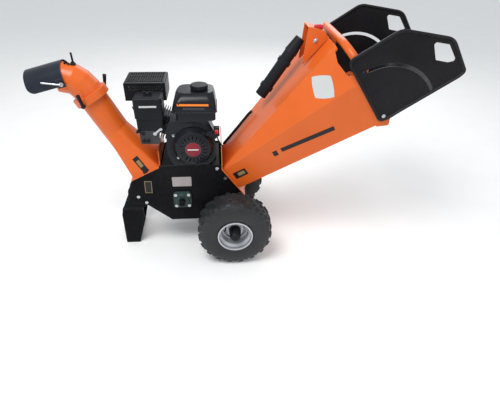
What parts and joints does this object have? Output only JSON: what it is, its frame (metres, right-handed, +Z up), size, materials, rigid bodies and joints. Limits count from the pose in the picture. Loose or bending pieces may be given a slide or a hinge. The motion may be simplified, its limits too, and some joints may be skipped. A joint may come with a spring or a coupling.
{
  "type": "wood chipper",
  "caption": "Wheeled petrol drum wood chipper with funnel hopper, folding feed tray, swivelling discharge chute and front leg stand.",
  "frame": {"origin": "on the ground under the middle of the machine's overall box", "axes": "+X towards the feed tray, -Y the starter side, +Z up"},
  "size_m": [1.7727, 0.64, 1.0836],
  "materials": {
    "black_paint": "semi-gloss black powder coat",
    "orange_paint": "gloss orange powder coat",
    "tray_black": "satin black powder coat",
    "chute_black": "satin blue-black powder coat",
    "engine_casting": "dark cast aluminium",
    "engine_cover": "black engine enamel",
    "black_plastic": "moulded black plastic",
    "guard_steel": "heat-proof black",
    "muffler_steel": "heat-stained steel",
    "machined_steel": "machined steel",
    "zinc_steel": "bright zinc plate",
    "hardened_steel": "ground tool steel",
    "bearing_green": "dark green cast iron",
    "rim_silver": "silver paint",
    "tyre_rubber": "knobby tyre rubber",
    "belt_rubber": "fabric-faced rubber",
    "lead_rubber": "black sheath",
    "plate_alloy": "brushed alloy",
    "red_plastic": "red plastic"
  },
  "bodies": {
    "frame": {"side_plate_near": "black_paint", "side_plate_far": "black_paint", "drum_casing": "black_paint", "engine_deck": "black_paint", "bed_knife": "hardened_steel", "axle": "machined_steel", "leg_stand": "black_paint", "drum_bearings": "bearing_green", "rating_plate": "plate_alloy", "drive_belt": "belt_rubber", "belt_guard": "black_paint", "crankcase": "engine_casting", "cylinder": "engine_casting", "fan_shroud": "engine_cover", "recoil_cover": "engine_cover", "fuel_tank": "engine_cover", "air_cleaner_case": "black_plastic", "air_cleaner_cover": "black_plastic", "carburettor": "engine_casting", "muffler": "muffler_steel", "muffler_guard": "guard_steel", "spark_plug": "black_plastic", "stop_switch": "black_plastic", "discharge_chute": "orange_paint", "hopper": "orange_paint", "infeed_flange": "orange_paint", "hoop_bar": "orange_paint", "hopper_brackets": "orange_paint", "manual_tube": "black_plastic", "tray_screws": "zinc_steel", "frame_bolts": "zinc_steel", "interlock_conduit": "lead_rubber", "switch_lead": "lead_rubber"},
    "drum": {"chipping_drum": "black_paint", "drum_knives": "hardened_steel", "knife_screws": "zinc_steel", "drum_pulley": "machined_steel"},
    "crank": {"crankshaft": "machined_steel", "flywheel": "engine_casting", "engine_pulley": "machined_steel"},
    "wheel_near": {"tyre_near": "tyre_rubber", "rim_near": "rim_silver"},
    "wheel_far": {"tyre_far": "tyre_rubber", "rim_far": "rim_silver"},
    "chute_head": {"chute_head": "orange_paint"},
    "deflector": {"deflector": "chute_black"},
    "deflector_lever": {"deflector_lever": "zinc_steel"},
    "clamp_lever_near": {"clamp_lever_near": "black_plastic"},
    "clamp_lever_far": {"clamp_lever_far": "black_plastic"},
    "feed_tray": {"tray_wing_near": "tray_black", "tray_wing_far": "tray_black", "tray_floor": "tray_black"},
    "fuel_cap": {"fuel_cap": "black_plastic"},
    "choke_lever": {"choke_lever": "black_plastic"},
    "throttle_lever": {"throttle_lever": "zinc_steel"},
    "fuel_lever": {"fuel_lever": "black_plastic"},
    "switch_rocker": {"switch_rocker": "red_plastic"},
    "starter_grip": {"starter_grip": "black_plastic"},
    "manual_cap": {"manual_cap": "black_plastic"},
    "cover_wing_nut": {"cover_wing_nut": "black_plastic"}
  },
  "joints": [
    {"name": "drum_spin", "type": "hinge", "parent": "frame", "child": "drum", "pos_m": [-0.2672, 0, 0.28], "axis": [0, 1, 0], "continuous": true},
    {"name": "crank_spin", "type": "hinge", "parent": "frame", "child": "crank", "pos_m": [-0.1962, 0, 0.567], "axis": [0, 1, 0], "continuous": true},
    {"name": "wheel_near_spin", "type": "hinge", "parent": "frame", "child": "wheel_near", "pos_m": [-0.0182, -0.242, 0.178], "axis": [0, 1, 0], "continuous": true},
    {"name": "wheel_far_spin", "type": "hinge", "parent": "frame", "child": "wheel_far", "pos_m": [-0.0182, 0.242, 0.178], "axis": [0, 1, 0], "continuous": true},
    {"name": "chute_swivel", "type": "hinge", "parent": "frame", "child": "chute_head", "pos_m": [-0.6432, 0, 0.773], "axis": [-0.4446, 0, 0.8957], "continuous": true},
    {"name": "deflector_tilt", "type": "hinge", "parent": "chute_head", "child": "deflector", "pos_m": [-0.7222, 0, 0.838], "axis": [0, -1, 0], "range_deg": [-8, 40]},
    {"name": "deflector_clamp", "type": "hinge", "parent": "chute_head", "child": "deflector_lever", "pos_m": [-0.7222, -0.08, 0.838], "axis": [0, -1, 0], "range_deg": [-60, 60]},
    {"name": "clamp_near_turn", "type": "hinge", "parent": "chute_head", "child": "clamp_lever_near", "pos_m": [-0.63253, 0, 0.7515], "axis": [-0.2318, -0.9659, -0.1151], "range_deg": [-75, 75]},
    {"name": "clamp_far_turn", "type": "hinge", "parent": "chute_head", "child": "clamp_lever_far", "pos_m": [-0.63253, 0, 0.7515], "axis": [0.4479, 0.866, 0.2223], "range_deg": [-75, 75]},
    {"name": "tray_fold", "type": "hinge", "parent": "frame", "child": "feed_tray", "pos_m": [0.5968, 0, 0.752], "axis": [0, -1, 0], "range_deg": [0, 87]},
    {"name": "fuel_cap_turn", "type": "hinge", "parent": "frame", "child": "fuel_cap", "pos_m": [-0.1592, -0.056, 0.808], "axis": [0, 0, 1], "range_deg": [0, 90]},
    {"name": "choke_turn", "type": "hinge", "parent": "frame", "child": "choke_lever", "pos_m": [-0.4062, -0.1464, 0.64], "axis": [0, -1, 0], "range_deg": [0, 50]},
    {"name": "throttle_turn", "type": "hinge", "parent": "frame", "child": "throttle_lever", "pos_m": [-0.3562, -0.1464, 0.64], "axis": [0, -1, 0], "range_deg": [-60, 15]},
    {"name": "fuel_tap_turn", "type": "hinge", "parent": "frame", "child": "fuel_lever", "pos_m": [-0.4062, -0.1464, 0.606], "axis": [0, -1, 0], "range_deg": [0, 25]},
    {"name": "stop_switch_rock", "type": "hinge", "parent": "frame", "child": "switch_rocker", "pos_m": [-0.0902, -0.1423, 0.642], "axis": [1, 0, 0], "range_deg": [0, 16]},
    {"name": "starter_pull", "type": "slide", "parent": "frame", "child": "starter_grip", "axis": [0, -1, 0], "range_m": [0, 0.6], "stiffness_N_per_m": 25},
    {"name": "manual_cap_turn", "type": "hinge", "parent": "frame", "child": "manual_cap", "pos_m": [0.2438, 0, 0.948], "axis": [0.5527, 0, 0.8334], "continuous": true},
    {"name": "cover_nut_turn", "type": "hinge", "parent": "frame", "child": "cover_wing_nut", "pos_m": [-0.3742, -0.1, 0.7966], "axis": [0, 0, 1], "continuous": true}
  ],
  "couplings": [
    {"joint": "crank_spin", "follows": "drum_spin", "ratio": 1.8723}
  ]
}
